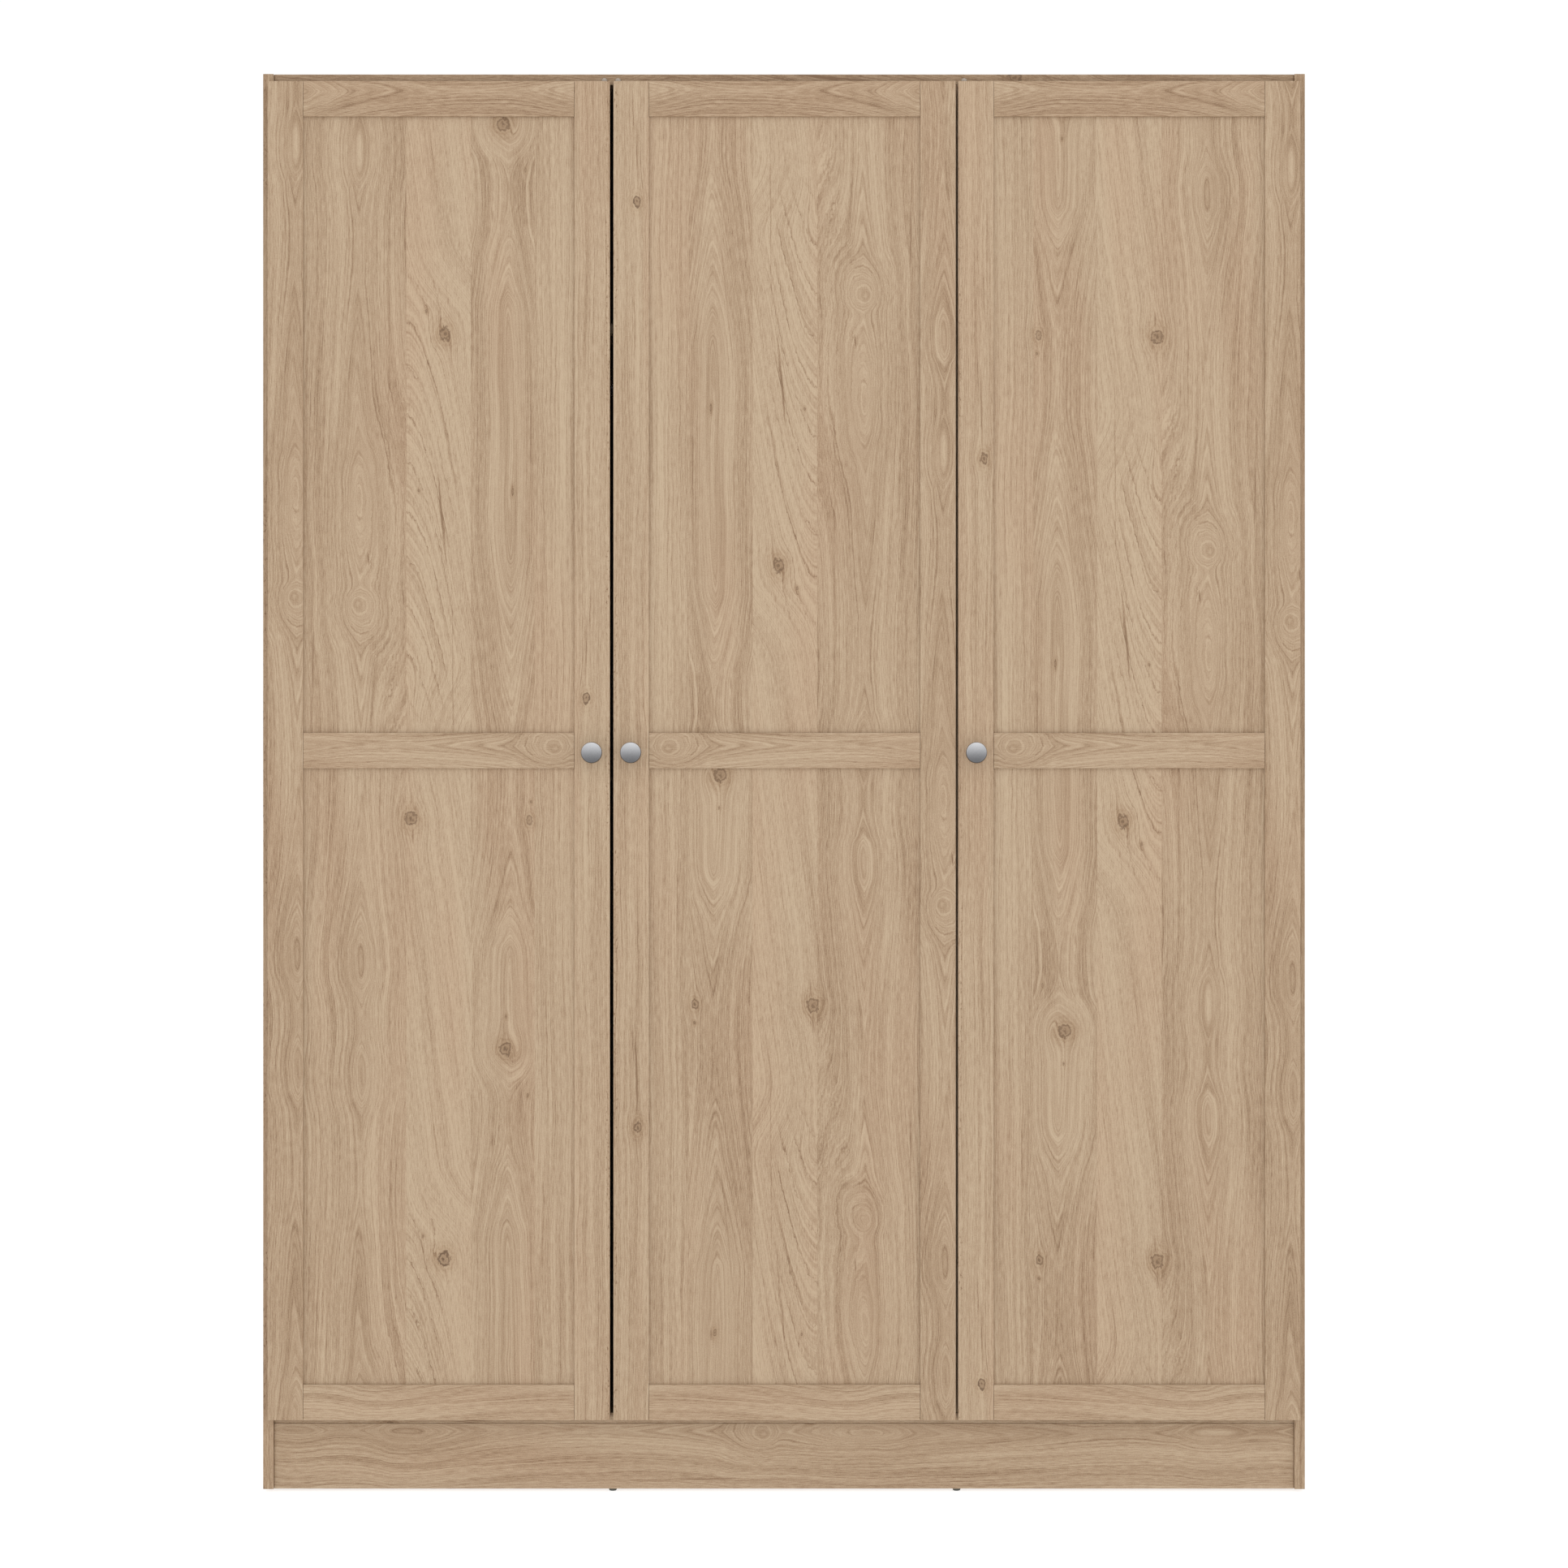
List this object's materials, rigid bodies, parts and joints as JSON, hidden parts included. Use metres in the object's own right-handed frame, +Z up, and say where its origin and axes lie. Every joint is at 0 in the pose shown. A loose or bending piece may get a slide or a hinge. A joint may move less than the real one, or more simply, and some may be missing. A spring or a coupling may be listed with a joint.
{
  "type": "wardrobe with doors",
  "caption": "Tall wood-effect wardrobe with framed hinged doors, round metal knobs, a flush plinth and a divided inside with shelves and a clothes rail.",
  "frame": {"origin": "on the floor under the middle of the object's box, halfway between the side panels' outer faces and halfway between the knobs' faces and the back", "axes": "+Z up, -Y to the doors (the front), +X to the right as seen from the front"},
  "size_m": [1.473, 0.604, 2.005],
  "materials": {
    "wood_decor": "matt light greyish-brown hickory-effect foil on particleboard, grain along each board, with knots",
    "raw_back": "raw brown hardboard on the outside, wood-effect paper inside",
    "knob_metal": "satin nickel",
    "hinge_metal": "nickel-plated pressed steel, half gloss",
    "rail_steel": "thin chrome-plated oval tube",
    "glide_plastic": "dark grey moulded plastic"
  },
  "bodies": {
    "carcass": {"side_panel_left": "wood_decor", "side_panel_right": "wood_decor", "top_panel": "wood_decor", "bottom_panel": "wood_decor", "divider_panel": "wood_decor", "plinth_front": "wood_decor", "plinth_support_centre": "wood_decor", "plinth_support_divider": "wood_decor", "hat_shelf": "wood_decor", "shelf_high": "wood_decor", "shelf_mid": "wood_decor", "shelf_low": "wood_decor", "back_panel_left": "raw_back", "back_panel_right": "raw_back", "clothes_rail": "rail_steel", "glide_front_left": "glide_plastic", "glide_front_right": "glide_plastic", "glide_back_left": "glide_plastic", "glide_back_right": "glide_plastic", "glide_plinth_centre": "glide_plastic", "glide_plinth_divider": "glide_plastic", "hinge_arm_left_low": "hinge_metal", "hinge_arm_left_mid": "hinge_metal", "hinge_arm_left_high": "hinge_metal", "hinge_arm_middle_low": "hinge_metal", "hinge_arm_middle_mid": "hinge_metal", "hinge_arm_middle_high": "hinge_metal", "hinge_arm_right_low": "hinge_metal", "hinge_arm_right_mid": "hinge_metal", "hinge_arm_right_high": "hinge_metal"},
    "door_left": {"door_left_stile_hinge": "wood_decor", "door_left_stile_knob": "wood_decor", "door_left_rail_bottom": "wood_decor", "door_left_rail_middle": "wood_decor", "door_left_rail_top": "wood_decor", "door_left_panel": "wood_decor", "door_left_knob": "knob_metal"},
    "links_left": {"hinge_link_left_low": "hinge_metal", "hinge_link_left_mid": "hinge_metal", "hinge_link_left_high": "hinge_metal"},
    "door_middle": {"door_middle_stile_hinge": "wood_decor", "door_middle_stile_knob": "wood_decor", "door_middle_rail_bottom": "wood_decor", "door_middle_rail_middle": "wood_decor", "door_middle_rail_top": "wood_decor", "door_middle_panel": "wood_decor", "door_middle_knob": "knob_metal"},
    "links_middle": {"hinge_link_middle_low": "hinge_metal", "hinge_link_middle_mid": "hinge_metal", "hinge_link_middle_high": "hinge_metal"},
    "door_right": {"door_right_stile_hinge": "wood_decor", "door_right_stile_knob": "wood_decor", "door_right_rail_bottom": "wood_decor", "door_right_rail_middle": "wood_decor", "door_right_rail_top": "wood_decor", "door_right_panel": "wood_decor", "door_right_knob": "knob_metal"},
    "links_right": {"hinge_link_right_low": "hinge_metal", "hinge_link_right_mid": "hinge_metal", "hinge_link_right_high": "hinge_metal"}
  },
  "joints": [
    {"name": "door_left_hinge", "type": "hinge", "parent": "carcass", "child": "door_left", "pos_m": [-0.7281, -0.278, 1.048], "axis": [0, 0, -1], "range_deg": [0, 95]},
    {"name": "links_left_pivot", "type": "hinge", "parent": "door_left", "child": "links_left", "pos_m": [-0.7056, -0.2655, 1.048], "axis": [0, 0, -1], "range_deg": [-76, 0]},
    {"name": "door_middle_hinge", "type": "hinge", "parent": "carcass", "child": "door_middle", "pos_m": [0.2421, -0.278, 1.048], "axis": [0, 0, 1], "range_deg": [0, 95]},
    {"name": "links_middle_pivot", "type": "hinge", "parent": "door_middle", "child": "links_middle", "pos_m": [0.2196, -0.2655, 1.048], "axis": [0, 0, 1], "range_deg": [-76, 0]},
    {"name": "door_right_hinge", "type": "hinge", "parent": "carcass", "child": "door_right", "pos_m": [0.7281, -0.278, 1.048], "axis": [0, 0, 1], "range_deg": [0, 95]},
    {"name": "links_right_pivot", "type": "hinge", "parent": "door_right", "child": "links_right", "pos_m": [0.7056, -0.2655, 1.048], "axis": [0, 0, 1], "range_deg": [-76, 0]}
  ],
  "couplings": [
    {"joint": "links_left_pivot", "follows": "door_left_hinge", "ratio": -0.8},
    {"joint": "links_middle_pivot", "follows": "door_middle_hinge", "ratio": -0.8},
    {"joint": "links_right_pivot", "follows": "door_right_hinge", "ratio": -0.8}
  ]
}
